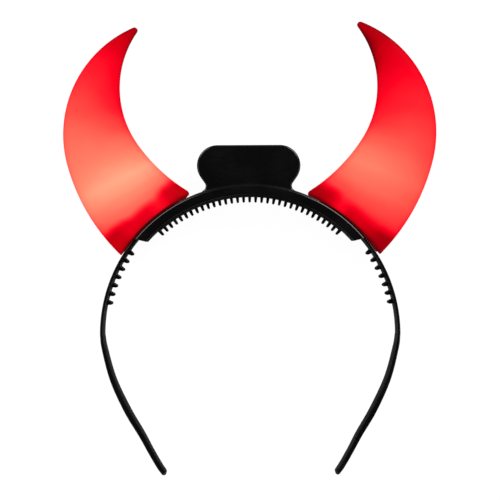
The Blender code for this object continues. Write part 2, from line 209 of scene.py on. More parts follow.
def rounded_outline(corners: Sequence[Corner], steps: int = 4) -> list[Vector]:
    """Rounds the corners of a closed outline.

    Args:
        corners: The outline's corners in order.
        steps: How many straight runs each rounding has.

    Returns:
        The outline's points in the same order.
    """
    outline = []
    count = len(corners)
    for i, corner in enumerate(corners):
        here = Vector((corner.x, corner.y))
        if not corner.radius:
            outline.append(here)
            continue
        before = Vector((corners[i - 1].x, corners[i - 1].y))
        after = Vector((corners[(i + 1) % count].x, corners[(i + 1) % count].y))
        back = (before - here).normalized()
        on = (after - here).normalized()
        half = back.angle(on) / 2
        centre = here + (back + on).normalized() * corner.radius / math.sin(half)
        start = here + back * corner.radius / math.tan(half) - centre
        end = here + on * corner.radius / math.tan(half) - centre
        turn = start.angle_signed(end)
        for step in range(steps + 1):
            angle = heading(start) - turn * step / steps
            outline.append(centre + corner.radius * spoke(angle))
    return outline


def rounded_box(low: Vector, high: Vector, radius: float, steps: int = 4) -> list[Vector]:
    """Draws a rectangle with round corners.

    Args:
        low: Its lowest corner.
        high: Its highest corner.
        radius: The radius of its corners.
        steps: How many straight runs each corner has.

    Returns:
        The outline's points in order.
    """
    corners = (
        Corner(low.x, low.y, radius),
        Corner(high.x, low.y, radius),
        Corner(high.x, high.y, radius),
        Corner(low.x, high.y, radius),
    )
    return rounded_outline(corners, steps)


def round_section(count: int, flatness: float) -> list[tuple[float, float]]:
    """A section between an ellipse and a box.

    Args:
        count: How many points it has.
        flatness: 2 gives an ellipse, more is boxier.

    Returns:
        (across, up) pairs from -1 to 1, starting at the +across end.
    """
    section = []
    for i in range(count):
        angle = 2 * math.pi * i / count
        across = math.copysign(abs(math.cos(angle)) ** (2 / flatness), math.cos(angle))
        up = math.copysign(abs(math.sin(angle)) ** (2 / flatness), math.sin(angle))
        section.append((across, up))
    return section


def rim_levels(depth: float, edge: float, steps: int) -> list[tuple[float, float]]:
    """Stacks the outlines of a flat body whose rims are round front and back.

    Args:
        depth: The body's whole depth.
        edge: The radius of its rims.
        steps: How many straight runs each rim has.

    Returns:
        (height over the mid plane, how far the outline is drawn in), from one rim to the other.
    """
    levels = []
    for i in range(steps + 1):
        angle = math.radians(90.0 * i / steps)
        levels.append((depth / 2 - edge * (1 - math.cos(angle)), edge * (1 - math.sin(angle))))
    return [*((-z, inset) for z, inset in levels), *reversed(levels)]


def smooth_rows(rows: Sequence[Sequence[float]], steps: int) -> list[Vector]:
    """Runs a Catmull-Rom curve through rows of numbers.

    Args:
        rows: Rows that all have the same count of numbers.
        steps: Steps from each row to the next.

    Returns:
        The rows on the curve, first and last included.
    """
    given = [Vector(row) for row in rows]
    ends = [2 * given[0] - given[1], *given, 2 * given[-1] - given[-2]]
    result = []
    for before, start, end, after in zip(ends, ends[1:], ends[2:], ends[3:]):
        for step in range(steps):
            t = step / steps
            result.append(
                0.5 * (2 * start + (end - before) * t)
                + 0.5 * (2 * before - 5 * start + 4 * end - after) * t**2
                + 0.5 * (3 * start - before - 3 * end + after) * t**3
            )
    return [*result, given[-1]]


class Draft:
    """A mesh in the making: closed bodies lofted through rings, with values kept for each point."""

    def __init__(self) -> None:
        """Starts an empty mesh."""
        self.mesh = bmesh.new()

    def loft(self, rings: Sequence[Ring], value: str = "", values: Sequence[float] = ()) -> None:
        """Adds one closed body.

        Args:
            rings: Rings of points, each with as many points as the next.
            value: The name of a number kept for each point, if there is one.
            values: That number for each point, ring by ring.
        """
        layer = None
        if value:
            layers = self.mesh.verts.layers.float
            layer = layers.get(value) or layers.new(value)
        told = iter(values)
        loops = []
        for ring in rings:
            loop = [self.mesh.verts.new(point) for point in ring]
            if layer is not None:
                for vertex in loop:
                    vertex[layer] = next(told)
            loops.append(loop)
        faces = [self.mesh.faces.new(loops[0]), self.mesh.faces.new(loops[-1])]
        for low, high in zip(loops, loops[1:]):
            for i in range(len(low)):
                j = (i + 1) % len(low)
                faces.append(self.mesh.faces.new((low[i], low[j], high[j], high[i])))
        bmesh.ops.recalc_face_normals(self.mesh, faces=faces)

    def finish(self, name: str, material: bpy.types.Material) -> bpy.types.Object:
        """Ends the draft.

        Args:
            name: The new object's name.
            material: Its finish.

        Returns:
            The object, smooth-shaded up to the sharp angle.
        """
        data = bpy.data.meshes.new(name)
        self.mesh.to_mesh(data)
        self.mesh.free()
        data.shade_smooth()
        data.set_sharp_from_angle(angle=math.radians(SHARP_ANGLE))
        data.materials.append(material)
        made = bpy.data.objects.new(name, data)
        bpy.context.scene.collection.objects.link(made)
        return made


def cut_away(target: bpy.types.Object, cutter: bpy.types.Object) -> None:
    """Cuts one object out of another for good, and removes the cutter.

    Args:
        target: The object that is cut.
        cutter: The object that it loses.
    """
    modifier = target.modifiers.new(cutter.name, "BOOLEAN")
    modifier.object = cutter
    modifier.operation = "DIFFERENCE"
    apply_modifiers(target)
    bpy.data.objects.remove(cutter)


def round_edges(target: bpy.types.Object, width: float) -> None:
    """Rounds an object's sharp edges.

    Args:
        target: The object.
        width: How wide each rounding is.
    """
    modifier = target.modifiers.new("round_edges", "BEVEL")
    modifier.width = width
    modifier.segments = 3
    modifier.limit_method = "ANGLE"
    modifier.angle_limit = math.radians(ROUNDED_ANGLE)
    apply_modifiers(target)


def apply_modifiers(target: bpy.types.Object) -> None:
    """Replaces an object's mesh by what its modifiers make of it.

    Args:
        target: The object, which loses its modifiers.
    """
    graph = bpy.context.evaluated_depsgraph_get()
    old = target.data
    target.data = bpy.data.meshes.new_from_object(target.evaluated_get(graph))
    target.modifiers.clear()
    target.data.name = old.name
    bpy.data.meshes.remove(old)


def settle(piece: bpy.types.Object, node: str) -> None:
    """Makes a piece ride on the part's one body, in place of the solid that it stands for.

    Args:
        piece: The finished piece.
        node: The solid that it replaces.
    """
    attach(piece, BODY)
    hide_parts(node)
    LOG.info("%s: %d faces", piece.name, len(piece.data.polygons))


@dataclass(frozen=True)
class Arch:
    """The band's arch, about whose centre every outline is drawn."""

    centre: Vector

    @classmethod
    def from_frame(cls, lip_r: float) -> Arch:
        """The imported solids' arch: the housing's top face, of radius lip_r, is highest at the crown."""
        low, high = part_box("crown_housing")
        return cls(Vector((0.0, high.y - lip_r, (low.z + high.z) / 2)))

    def place(self, flat: Vector, z: float = 0.0) -> Vector:
        """The place of a point of the drawing, this high over the mid plane."""
        return self.centre + Vector((flat.x, flat.y, z))

    @staticmethod
    def on(radius: float, degrees: float) -> Vector:
        """The drawing's point at this radius and this angle from the crown."""
        return spoke(math.radians(90.0 - degrees)) * radius

    def sweep(self, profile: Sequence[Vector], angles: Sequence[float]) -> list[Ring]:
        """Rings at these angles of a profile with the radius in x and the height in y."""
        return [[self.place(self.on(at.x, angle), at.y) for at in profile] for angle in angles]


@dataclass(frozen=True)
class SubAssembly:
    """What every sub-assembly follows and is made of: the band's arch, and its own material."""

    arch: Arch
    finish: bpy.types.Material


class ShaderTree:
    """A short way to add and join nodes in a material or a node group."""

    def __init__(self, tree: bpy.types.NodeTree) -> None:
        """Takes the tree that the nodes go into."""
        self.tree = tree

    def add(self, kind: str, **settings: object) -> bpy.types.Node:
        """Adds a node.

        Args:
            kind: The node's type without the word ShaderNode.
            settings: Its properties by name.

        Returns:
            The node.
        """
        node = self.tree.nodes.new("ShaderNode" + kind)
        for name, setting in settings.items():
            setattr(node, name, setting)
        return node

    def join(self, output: bpy.types.NodeSocket, into: bpy.types.NodeSocket) -> None:
        """Links an output to an input."""
        self.tree.links.new(output, into)

    def maths(self, operation: str, *values: float | bpy.types.NodeSocket) -> bpy.types.NodeSocket:
        """Adds a Math node.

        Args:
            operation: What it does, such as MULTIPLY.
            values: Its inputs, each a number or another node's output.

        Returns:
            Its output.
        """
        node = self.add("Math", operation=operation)
        for socket, value in zip(node.inputs, values):
            if isinstance(value, bpy.types.NodeSocket):
                self.join(value, socket)
            else:
                socket.default_value = value
        return node.outputs[0]

    def give(self, node: bpy.types.Node, values: dict[str, Given]) -> None:
        """Sets a node's inputs.

        Args:
            node: The node.
            values: Its inputs by name, each a number, a colour or another node's output.
        """
        for name, value in values.items():
            if isinstance(value, bpy.types.NodeSocket):
                self.join(value, node.inputs[name])
            else:
                node.inputs[name].default_value = value

    def ranged(
        self, value: bpy.types.NodeSocket, old: tuple[float, float], new: tuple[float, float]
    ) -> bpy.types.NodeSocket:
        """Maps a value from one range to another, and clamps it there.

        Args:
            value: The value.
            old: The range that it comes from.
            new: The range that it goes to.

        Returns:
            The value in its new range.
        """
        node = self.add("MapRange", clamp=True)
        ends = {"From Min": old[0], "From Max": old[1], "To Min": new[0], "To Max": new[1]}
        self.give(node, {"Value": value, **ends})
        return node.outputs["Result"]

    def blend(self, factor: bpy.types.NodeSocket, first: Given, second: Given) -> bpy.types.NodeSocket:
        """Mixes two colours.

        Args:
            factor: How much of the second there is.
            first: One colour, or a node's output.
            second: The other.

        Returns:
            The mixed colour.
        """
        node = self.add("Mix", data_type="RGBA")
        self.give(node, {"Factor": factor, "A": first, "B": second})
        return node.outputs["Result"]

    def noise(self, scale: float, detail: float = 2.0, stretch: Vector | None = None) -> bpy.types.NodeSocket:
        """Adds a noise over the piece's own coordinates.

        Args:
            scale: Its scale in waves for each metre.
            detail: How many finer layers it has.
            stretch: How much more each axis is scaled, for streaks.

        Returns:
            Its value from 0 to 1.
        """
        place = self.add("TexCoord").outputs["Object"]
        if stretch is not None:
            mapping = self.add("Mapping")
            self.give(mapping, {"Vector": place, "Scale": stretch})
            place = mapping.outputs["Vector"]
        node = self.add("TexNoise")
        self.give(node, {"Vector": place, "Scale": scale, "Detail": detail})
        return node.outputs[0]


class ShaderKit:
    """The effects that more than one finish uses, each a node group that is built once.

    The scales are the noises' waves for each metre.
    """

    GRAIN_SCALE = 5200.0
    SINK_SCALE = 90.0
    SINK_DEPTH = 6.0  # against the grain's
    SMUDGE_SCALE = 55.0
    STREAK_SCALE = 260.0
    STREAK_STRETCH = Vector((1.0, 9.0, 3.0))
    CHIP_SCALE = 900.0

    def __init__(self) -> None:
        """Builds the groups."""
        self.skin = self.moulded_skin()
        self.handling = self.handling_marks()
        self.wear = self.worn_and_highlit_edges()

    @staticmethod
    def start(
        name: str, inputs: dict[str, float], outputs: Sequence[str]
    ) -> tuple[ShaderTree, bpy.types.Node, bpy.types.Node]:
        """Starts a node group.

        Args:
            name: Its name.
            inputs: Its inputs by name, with their usual values.
            outputs: The names of its outputs, all numbers.

        Returns:
            Its tree, its input node and its output node.
        """
        group = bpy.data.node_groups.new(name, "ShaderNodeTree")
        for label, usual in inputs.items():
            socket = group.interface.new_socket(label, in_out="INPUT", socket_type="NodeSocketFloat")
            socket.default_value = usual
        for label in outputs:
            group.interface.new_socket(label, in_out="OUTPUT", socket_type="NodeSocketFloat")
        tree = ShaderTree(group)
        return tree, group.nodes.new("NodeGroupInput"), group.nodes.new("NodeGroupOutput")

    def moulded_skin(self) -> bpy.types.NodeTree:
        """A moulded plastic's skin: a fine grain over slow sink marks.

        Returns:
            The group. Grain and Sinks set how strong each is, and Height feeds a Bump node.
        """
        tree, given, result = self.start("moulded_skin", {"Grain": 1.0, "Sinks": 1.0}, ("Height",))
        grain = tree.maths("MULTIPLY", tree.noise(self.GRAIN_SCALE, 3.0), given.outputs["Grain"])
        sinks = tree.maths("MULTIPLY", tree.noise(self.SINK_SCALE, 1.0), given.outputs["Sinks"])
        height = tree.maths("ADD", grain, tree.maths("MULTIPLY", sinks, self.SINK_DEPTH))
        tree.join(height, result.inputs["Height"])
        return tree.tree

    def handling_marks(self) -> bpy.types.NodeTree:
        """What hands leave: soft smudges and thin streaks where hands rub.

        Returns:
            The group, whose Roughness varies about the given one and whose Marks is a mask.
        """
        inputs = {"Roughness": 0.4, "Spread": 0.06}
        tree, given, result = self.start("handling_marks", inputs, ("Roughness", "Marks"))
        smudges = tree.noise(self.SMUDGE_SCALE, 4.0)
        streaks = tree.noise(self.STREAK_SCALE, 2.0, self.STREAK_STRETCH)
        marks = tree.maths("ADD", tree.maths("MULTIPLY", smudges, 0.7), tree.maths("MULTIPLY", streaks, 0.3))
        about = tree.ranged(marks, (0.3, 0.7), (-1.0, 1.0))
        swing = tree.maths("MULTIPLY", about, given.outputs["Spread"])
        tree.join(tree.maths("ADD", given.outputs["Roughness"], swing), result.inputs["Roughness"])
        tree.join(tree.ranged(marks, (0.5, 0.72), (0.0, 1.0)), result.inputs["Marks"])
        return tree.tree

    def worn_and_highlit_edges(self) -> bpy.types.NodeTree:
        """Where edges are rubbed bright, and where a painted highlight makes the convex edges paler.

        Returns:
            The group. Amount sets how far the wear and the painted highlight go, and its output is their
            mask.
        """
        tree, given, result = self.start("worn_and_highlit_edges", {"Amount": 0.5}, ("Wear",))
        # wear and painted highlight: convex edges, found by pointiness, turn paler
        edges = tree.ranged(tree.add("NewGeometry").outputs["Pointiness"], (0.53, 0.62), (0.0, 1.0))
        broken = tree.ranged(tree.noise(self.CHIP_SCALE, 3.0), (0.35, 0.65), (0.2, 1.0))
        wear = tree.maths("MULTIPLY", tree.maths("MULTIPLY", edges, broken), given.outputs["Amount"])
        tree.join(wear, result.inputs["Wear"])
        return tree.tree

    def place(self, tree: ShaderTree, group: bpy.types.NodeTree, **values: float) -> bpy.types.Node:
        """Puts a group into a material.

        Args:
            tree: The material's tree.
            group: The group.
            values: The group's inputs by name, as this material has them.

        Returns:
            The group's node.
        """
        node = tree.add("Group", node_tree=group)
        tree.give(node, values)
        return node


def new_material(name: str) -> tuple[bpy.types.Material, ShaderTree, bpy.types.Node]:
    """Starts a material.

    Args:
        name: Its name.

    Returns:
        The material, its tree and its Principled node.
    """
    material = bpy.data.materials.new(name)
    material.use_nodes = True
    return material, ShaderTree(material.node_tree), material.node_tree.nodes["Principled BSDF"]


def opaque(colour: Colour) -> tuple[float, float, float, float]:
    """The colour with a full alpha, as the shaders take it."""
    return (*colour, 1.0)


@dataclass(frozen=True)
class Plastic:
    """What all the moulded plastics share: a fine skin, some shine and the marks of handling."""

    name: str
    roughness: float = 0.42
    spread: float = 0.06
    specular: float = 0.2
    grain: float = 0.7
    sinks: float = 0.3
    skin_depth: float = 0.006 * MM

    def start(
        self, kit: ShaderKit
    ) -> tuple[bpy.types.Material, ShaderTree, bpy.types.Node, bpy.types.NodeSocket]:
        """Starts the material.

        Args:
            kit: The shared effects.

        Returns:
            The material, its tree, its Principled node and the mask of its handling marks.
        """
        material, tree, shader = new_material(self.name)
        handling = kit.place(tree, kit.handling, Roughness=self.roughness, Spread=self.spread)
        skin = kit.place(tree, kit.skin, Grain=self.grain, Sinks=self.sinks)
        bump = tree.add("Bump")
        tree.give(bump, {"Distance": self.skin_depth, "Height": skin.outputs["Height"]})
        shared = {
            "Normal": bump.outputs["Normal"],
            "Roughness": handling.outputs["Roughness"],
            "Specular IOR Level": self.specular,
        }
        tree.give(shader, shared)
        return material, tree, shader, handling.outputs["Marks"]


@dataclass(frozen=True)
class MouldedBlack(Plastic):
    """A black moulded plastic with rubbed edges, whose convex edges also carry a painted highlight."""

    roughness: float = 0.22
    spread: float = 0.03
    specular: float = 0.35
    grain: float = 0.6
    sinks: float = 0.6
    body: Colour = (0.0015, 0.0015, 0.0017)
    # paler colour for handling marks, rubbed edges and the painted edge highlight
    rubbed_and_highlit: Colour = (0.008, 0.008, 0.009)
    wear: float = 0.5
    marked: float = 0.25

    def material(self, kit: ShaderKit) -> bpy.types.Material:
        """Makes the material.

        Args:
            kit: The shared effects.

        Returns:
            The finished material.
        """
        material, tree, shader, marks = self.start(kit)
        # painted highlight: convex edges made paler, together with their wear
        wear = kit.place(tree, kit.wear, Amount=self.wear).outputs["Wear"]
        paler = tree.maths("MAXIMUM", wear, tree.maths("MULTIPLY", marks, self.marked))
        tree.give(shader, {"Base Color": tree.blend(paler, opaque(self.body), opaque(self.rubbed_and_highlit))})
        return material


@dataclass(frozen=True)
class HeatStop:
    """One colour of the lit plastic, at this much heat, as a display shows it."""

    heat: float
    display: tuple[int, int, int]


@dataclass(frozen=True)
class LitRed(Plastic):
    """Translucent red plastic, lit from inside. The mesh's own glow value says how hot each place is."""

    name: str = "lit_red"
    roughness: float = 0.36
    spread: float = 0.05
    specular: float = 0.004
    grain: float = 0.8
    sinks: float = 0.5
    glow: str = "glow"
    plastic: Colour = (0.03, 0.0, 0.001)
    cloud_scale: float = 70.0
    clouds: float = 0.012
    stops: tuple[HeatStop, ...] = (
        HeatStop(0.0, (20, 0, 1)),
        HeatStop(0.1, (120, 0, 6)),
        HeatStop(0.2, (192, 0, 12)),
        HeatStop(0.3, (226, 0, 24)),
        HeatStop(0.4, (250, 4, 32)),
        HeatStop(0.5, (255, 34, 46)),
        HeatStop(0.65, (255, 78, 70)),
        HeatStop(0.8, (255, 116, 94)),
        HeatStop(0.9, (255, 140, 110)),
        HeatStop(1.0, (255, 171, 136)),
    )

    def material(self, kit: ShaderKit) -> bpy.types.Material:
        """Makes the material.

        Args:
            kit: The shared effects.

        Returns:
            The finished material.
        """
        material, tree, shader, _ = self.start(kit)
        heat = tree.add("Attribute", attribute_name=self.glow)
        clouds = tree.ranged(tree.noise(self.cloud_scale, 3.0), (0.3, 0.7), (-self.clouds, self.clouds))
        ramp = tree.add("ValToRGB")
        tree.join(tree.maths("ADD", heat.outputs["Fac"], clouds), ramp.inputs["Fac"])
        ramp.color_ramp.elements[0].position = self.stops[0].heat
        ramp.color_ramp.elements[1].position = self.stops[-1].heat
        for stop in self.stops[1:-1]:
            ramp.color_ramp.elements.new(stop.heat)
        for element, stop in zip(ramp.color_ramp.elements, self.stops):
            element.color = opaque(linear(stop.display))
        glow = {"Emission Color": ramp.outputs["Color"], "Emission Strength": 1.0}
        tree.give(shader, {"Base Color": opaque(self.plastic), **glow})
        return material


@dataclass(frozen=True)
class LampDark(Plastic):
    """The lamp bases' dark red plastic, faintly lit by their lamps."""

    name: str = "lamp_dark_red"
    body: Colour = (0.004, 0.0004, 0.0006)
    marked: Colour = (0.009, 0.0006, 0.001)
    shine: tuple[int, int, int] = (84, 0, 3)

    def material(self, kit: ShaderKit) -> bpy.types.Material:
        """Makes the material.

        Args:
            kit: The shared effects.

        Returns:
            The finished material.
        """
        material, tree, shader, marks = self.start(kit)
        glow = {"Emission Color": opaque(linear(self.shine)), "Emission Strength": 1.0}
        tree.give(shader, {"Base Color": tree.blend(marks, opaque(self.body), opaque(self.marked)), **glow})
        return material


@dataclass(frozen=True)
class PalePaper:
    """The studio's white floor, lit from below like a light table, and dark in the part's reflections."""

    name: str = "pale_paper"
    colour: Colour = (0.07, 0.07, 0.07)
    shaded: Colour = (0.06944, 0.06944, 0.06944)
    cloud_scale: float = 30.0
    roughness: float = 0.9
    specular: float = 0.1
    shine: float = 0.95
    mirrored: Colour = (0.06, 0.06, 0.066)

    def material(self) -> bpy.types.Material:
        """Makes the material.

        Returns:
            The finished material, with a barely uneven tone.
        """
        material, tree, shader = new_material(self.name)
        tint = tree.blend(tree.noise(self.cloud_scale, 3.0), opaque(self.shaded), opaque(self.colour))
        mirror = tree.add("LightPath").outputs["Is Glossy Ray"]
        values = {
            "Base Color": tree.blend(mirror, tint, opaque(self.mirrored)),
            "Emission Color": opaque(WHITE),
            "Emission Strength": tree.ranged(mirror, (0.0, 1.0), (self.shine, 0.0)),
            "Roughness": self.roughness,
            "Specular IOR Level": self.specular,
        }
        tree.give(shader, values)
        return material


@dataclass(frozen=True)
class Tooth:
    """A flat comb tooth with a round tip and soft edges, pointing at the arch's centre."""

    length: float
    root: float
    tip: float
    depth: float
    edge: float = 0.22 * MM
    sink: float = 0.6 * MM  # how far its root runs into the face that it stands on
    tip_steps: int = 8
    edge_steps: int = 3

    def outline(self, degrees: float, root_r: float, inset: float) -> list[Vector]:
        """Draws the tooth.

        Args:
            degrees: Its angle from the crown.
            root_r: The radius of the face that it stands on.
            inset: How far the outline is drawn in.

        Returns:
            The outline's points in the drawing.
        """
        out = Arch.on(1.0, degrees)
        aside = Vector((out.y, -out.x))
        half_root = self.root / 2 - inset
        half_tip = self.tip / 2 - inset
        end = root_r - self.length + self.tip / 2
        tip = Arc(Vector((end, 0.0)), half_tip, math.pi / 2, 3 * math.pi / 2).points(self.tip_steps)
        side = [Vector((root_r + self.sink, half_root)), *tip, Vector((root_r + self.sink, -half_root))]
        return [out * point.x + aside * point.y for point in side]

    def build(self, draft: Draft, arch: Arch, degrees: float, root_r: float) -> None:
        """Adds the tooth to a draft.

        Args:
            draft: The mesh in the making.
            arch: The band's arch.
            degrees: The tooth's angle from the crown.
            root_r: The radius of the face that it stands on.
        """
        rings = []
        for z, inset in rim_levels(self.depth, self.edge, self.edge_steps):
            flat = self.outline(degrees, root_r, inset)
            rings.append([arch.place(point, z) for point in flat])
        draft.loft(rings)


@dataclass(frozen=True)
class LegStation:
    """One place on the right leg's outer edge, and the strip's section there, all in millimetres."""

    x: float
    y: float
    thick: float
    depth: float


@dataclass(frozen=True)
class Headband(SubAssembly):
    """The flat springy strip with its leg teeth and the tab on its crown, which are one moulding."""

    outer_r: float = 65.15 * MM
    thick: float = 1.45 * MM
    depth: float = 11.0 * MM
    arc: float = 90.0
    arc_step: float = 1.5
    edge: float = 0.45 * MM
    leg: tuple[LegStation, ...] = (
        LegStation(x=64.4, y=-6.3, thick=1.75, depth=11.0),
        LegStation(x=60.8, y=-20.2, thick=2.1, depth=10.5),
        LegStation(x=54.6, y=-34.0, thick=2.4, depth=10.0),
        LegStation(x=48.4, y=-44.4, thick=2.3, depth=9.3),
        LegStation(x=44.6, y=-51.4, thick=2.2, depth=8.6),
        LegStation(x=40.8, y=-58.0, thick=2.2, depth=8.0),
        LegStation(x=38.8, y=-60.8, thick=2.1, depth=7.6),
    )
    leg_steps: int = 10
    tip_round: float = 1.3 * MM
    tip_steps: int = 9
    tip_depth_loss: float = 0.45
    tooth: Tooth = Tooth(length=2.3 * MM, root=2.5 * MM, tip=1.5 * MM, depth=6.0 * MM)
    teeth: int = 7
    tooth_first: float = 55.8
    tooth_pitch: float = 3.6
    tab_y: float = 72.9 * MM
    tab_shift: Vector = Vector((-0.35, 0.3)) * MM
    tab_end_r: float = 8.9 * MM
    tab_half_run: float = 13.6 * MM
    tab_neck: float = 35.0
    tab_foot_r: float = 2.2 * MM
    tab_depth: float = 8.0 * MM
    tab_edge: float = 0.9 * MM
    tab_edge_steps: int = 5
    tab_foot_steps: int = 10
    tab_end_steps: int = 24
    tab_sink_angles: tuple[float, ...] = (2.5, 7.5, 12.5, 17.5)
    slot: str = "band_black"
    node: str = "headband"

    def path(self) -> list[tuple[Vector, float, float]]:
        """Runs the strip's outer edge from the left tip over the crown to the right tip.

        Returns:
            (point of the edge, the strip's thickness there, its depth there) along the way.
        """
        count = round(self.arc / self.arc_step)
        half = [(Arch.on(self.outer_r, i * self.arc_step), self.thick, self.depth) for i in range(count + 1)]
        end = half[-1]
        rows = [(end[0].x, end[0].y, end[1], end[2])]
        for at in self.leg:
            rows.append((at.x * MM, at.y * MM, at.thick * MM, at.depth * MM))
        for x, y, thick, depth in smooth_rows(rows, self.leg_steps)[1:]:
            half.append((Vector((x, y)), thick, depth))
        left = [(Vector((-at.x, at.y)), thick, depth) for at, thick, depth in half[:0:-1]]
        return left + half

    def section(
        self, at: Vector, inward: Vector, thick: float, depth: float, share: float
    ) -> list[tuple[Vector, float]]:
        """The strip's section, hung inward from its outer edge, and smaller at a tip.

        Args:
            at: A point of the strip's outer edge.
            inward: The flat direction across the strip.
            thick: The strip's thickness there.
            depth: Its depth there.
            share: The share of the thickness that is left.

        Returns:
            (point of the drawing, height over the mid plane) round the section.
        """
        half = Vector((thick * share, depth * (1 - self.tip_depth_loss * (1 - share)))) / 2
        middle = at + inward * thick / 2
        outline = rounded_box(-half, half, self.edge * share)
        return [(middle + inward * point.x, point.y) for point in outline]

    def strip(self) -> bpy.types.Object:
        """Builds the strip.

        Returns:
            The strip, with a half round at each end.
        """
        path = self.path()
        rings = []
        for i, (at, thick, depth) in enumerate(path):
            before = path[max(i - 1, 0)][0]
            after = path[min(i + 1, len(path) - 1)][0]
            along = (after - before).normalized()
            inward = Vector((along.y, -along.x))
            if 0 < i < len(path) - 1:
                rings.append(self.section(at, inward, thick, depth, 1.0))
                continue
            out = along if i else -along
            tip = []
            for step in range(self.tip_steps):
                angle = math.radians(90.0 * step / self.tip_steps)
                place = at + out * self.tip_round * math.sin(angle)
                tip.append(self.section(place, inward, thick, depth, math.cos(angle)))
            rings.extend(tip if i else reversed(tip))
        draft = Draft()
        draft.loft([[self.arch.place(flat, z) for flat, z in ring] for ring in rings])
        return draft.finish("band_strip", self.finish)

    def tab_outline(self, inset: float) -> list[Vector]:
        """Draws the tab from its right foot over the top to its left foot.

        Args:
            inset: How far the outline is drawn in.

        Returns:
            The outline's points in the drawing.
        """
        centre = Vector((self.tab_half_run, self.tab_y))
        neck = math.radians(-self.tab_neck)
        side = spoke(neck)
        down = Vector((side.y, -side.x))
        start = centre + side * (self.tab_end_r + self.tab_foot_r)
        reach = self.outer_r + self.tab_foot_r
        along = -start.dot(down) - math.sqrt(start.dot(down) ** 2 - start.length_squared + reach**2)
        foot = start + down * along
        landing = heading(-foot) + 2 * math.pi
        foot_arc = Arc(foot, self.tab_foot_r + inset, landing, heading(-side))
        end_arc = Arc(centre, self.tab_end_r - inset, neck, math.pi / 2)
        sunk = [Arch.on(self.outer_r - self.thick / 2, degrees) for degrees in self.tab_sink_angles]
        outline = [*sunk, *foot_arc.points(self.tab_foot_steps), *end_arc.points(self.tab_end_steps)]
        return outline + [Vector((-point.x, point.y)) for point in reversed(outline)]

    def tab(self) -> bpy.types.Object:
        """Builds the tab.

        Returns:
            The tab, with round rims front and back.
        """
        rings = []
        for z, inset in rim_levels(self.tab_depth, self.tab_edge, self.tab_edge_steps):
            outline = self.tab_outline(inset)
            rings.append([self.arch.place(point + self.tab_shift, z) for point in outline])
        draft = Draft()
        draft.loft(rings)
        return draft.finish("band_tab", self.finish)

    def leg_teeth(self, side: Side) -> bpy.types.Object:
        """Builds the teeth of one leg.

        Args:
            side: Which leg.

        Returns:
            All the leg's teeth in one mesh.
        """
        draft = Draft()
        for i in range(self.teeth):
            degrees = side.value * (self.tooth_first + self.tooth_pitch * i)
            self.tooth.build(draft, self.arch, degrees, self.outer_r - self.thick)
        return draft.finish("leg_teeth_" + side.word, self.finish)

    def build(self) -> None:
        """Builds and settles every piece of the headband."""
        for piece in (self.strip(), self.tab(), *(self.leg_teeth(side) for side in Side)):
            settle(piece, self.node)


@dataclass(frozen=True)
class CrownHousing(SubAssembly):
    """The tray below the band's crown, with a lip before and behind the band."""

    bottom_r: float = 60.3 * MM
    lip_r: float = 64.75 * MM
    depth: float = 16.0 * MM
    top_half: float = 50.3
    bottom_half: float = 48.2
    wall: float = 2.2 * MM
    tray_r: float = 63.4 * MM
    floor: float = 1.0 * MM
    cavity_half: float = 42.1
    lip_edge: float = 0.95 * MM
    bottom_edge: float = 0.3 * MM
    inner_edge: float = 0.25 * MM
    end_edge: float = 0.5 * MM
    edge_steps: int = 6
    step: float = 1.5
    end_run: float = 0.5
    slot: str = "housing_black"
    node: str = "crown_housing"

    def profile(self) -> list[Vector]:
        """Draws the tray's section.

        Returns:
            Its points, with the radius in x and the height over the mid plane in y.
        """
        half = self.depth / 2
        inner = half - self.wall
        front = [
            Corner(self.bottom_r, half, self.bottom_edge),
            Corner(self.lip_r, half, self.lip_edge),
            Corner(self.lip_r, inner, self.inner_edge),
            Corner(self.tray_r, inner, self.inner_edge),
        ]
        back = [Corner(at.x, -at.y, at.radius) for at in reversed(front)]
        return rounded_outline([*front, *back], self.edge_steps)

    def build(self) -> None:
        """Builds and settles the housing."""
        profile = self.profile()
        count = math.floor((self.bottom_half - self.end_run) / self.step)
        angles = [i * self.step for i in range(-count, count + 1)]
        rings = self.arch.sweep(profile, angles)
        for side in Side:
            ring = []
            for at in profile:
                share = (at.x - self.bottom_r) / (self.lip_r - self.bottom_r)
                degrees = mixed(self.bottom_half, self.top_half, share)
                ring.append(self.arch.place(Arch.on(at.x, side.value * degrees), at.y))
            rings.insert(0 if side is Side.LEFT else len(rings), ring)
        draft = Draft()
        draft.loft(rings)
        housing = draft.finish("housing_tray", self.finish)
        round_edges(housing, self.end_edge)
        inner = self.depth / 2 - self.wall
        low = Vector((self.bottom_r - self.wall, -inner))
        high = Vector((self.tray_r - self.floor, inner))
        count = round(self.cavity_half / self.step)
        angles = [self.cavity_half * i / count for i in range(-count, count + 1)]
        cutter = Draft()
        cutter.loft(self.arch.sweep(rounded_box(low, high, self.inner_edge), angles))
        cut_away(housing, cutter.finish("strip_cavity", self.finish))
        settle(housing, self.node)


@dataclass(frozen=True)
class CombStrip(SubAssembly):
    """The cover that closes the tray from below, with the crown's teeth."""

    half: float = 41.8
    bottom_r: float = 59.7 * MM
    thick: float = 1.5 * MM
    depth: float = 11.0 * MM
    edge: float = 0.25 * MM
    step: float = 1.1
    teeth: int = 33
    pitch: float = 2.575
    tooth: Tooth = Tooth(length=2.45 * MM, root=1.5 * MM, tip=1.1 * MM, depth=5.0 * MM, edge=0.2 * MM)
    slot: str = "comb_black"
    node: str = "comb_strip"

    def build(self) -> None:
        """Builds and settles the strip and its teeth."""
        low = Vector((self.bottom_r, -self.depth / 2))
        high = Vector((self.bottom_r + self.thick, self.depth / 2))
        count = round(self.half / self.step)
        angles = [self.half * i / count for i in range(-count, count + 1)]
        draft = Draft()
        draft.loft(self.arch.sweep(rounded_box(low, high, self.edge), angles))
        strip = draft.finish("comb_cover", self.finish)
        round_edges(strip, self.edge)
        settle(strip, self.node)
        draft = Draft()
        for i in range(self.teeth):
            self.tooth.build(draft, self.arch, (i - (self.teeth - 1) / 2) * self.pitch, self.bottom_r)
        settle(draft.finish("comb_teeth", self.finish), self.node)


